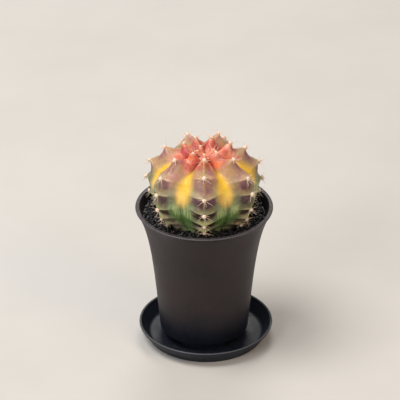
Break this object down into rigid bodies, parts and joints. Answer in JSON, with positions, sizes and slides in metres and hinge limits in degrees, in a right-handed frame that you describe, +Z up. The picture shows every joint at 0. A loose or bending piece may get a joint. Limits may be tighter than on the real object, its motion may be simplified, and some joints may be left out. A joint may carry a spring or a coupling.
{
  "type": "potted moon cactus",
  "caption": "Ribbed, variegated globe cactus with woolly areoles and short spines, growing on its own roots in dark grit in a flared black plastic pot on a round drip saucer.",
  "frame": {"origin": "on the pot's axis, at the underside of the saucer, which is the surface that it stands on", "axes": "+Z up along the pot's axis; -Y towards the side that the picture shows, where one rib points straight at the viewer; +X to the viewer's right"},
  "size_m": [0.0802, 0.0802, 0.1272],
  "materials": {
    "saucer_plastic": "matte, near-black moulded plastic",
    "pot_plastic": "matte, near-black moulded plastic",
    "potting_soil": null,
    "black_grit": null,
    "cactus_flesh": null
  },
  "bodies": {
    "root": {"saucer": "saucer_plastic", "pot": "pot_plastic", "soil": "potting_soil", "grit": "black_grit", "cactus": "cactus_flesh"}
  },
  "joints": []
}
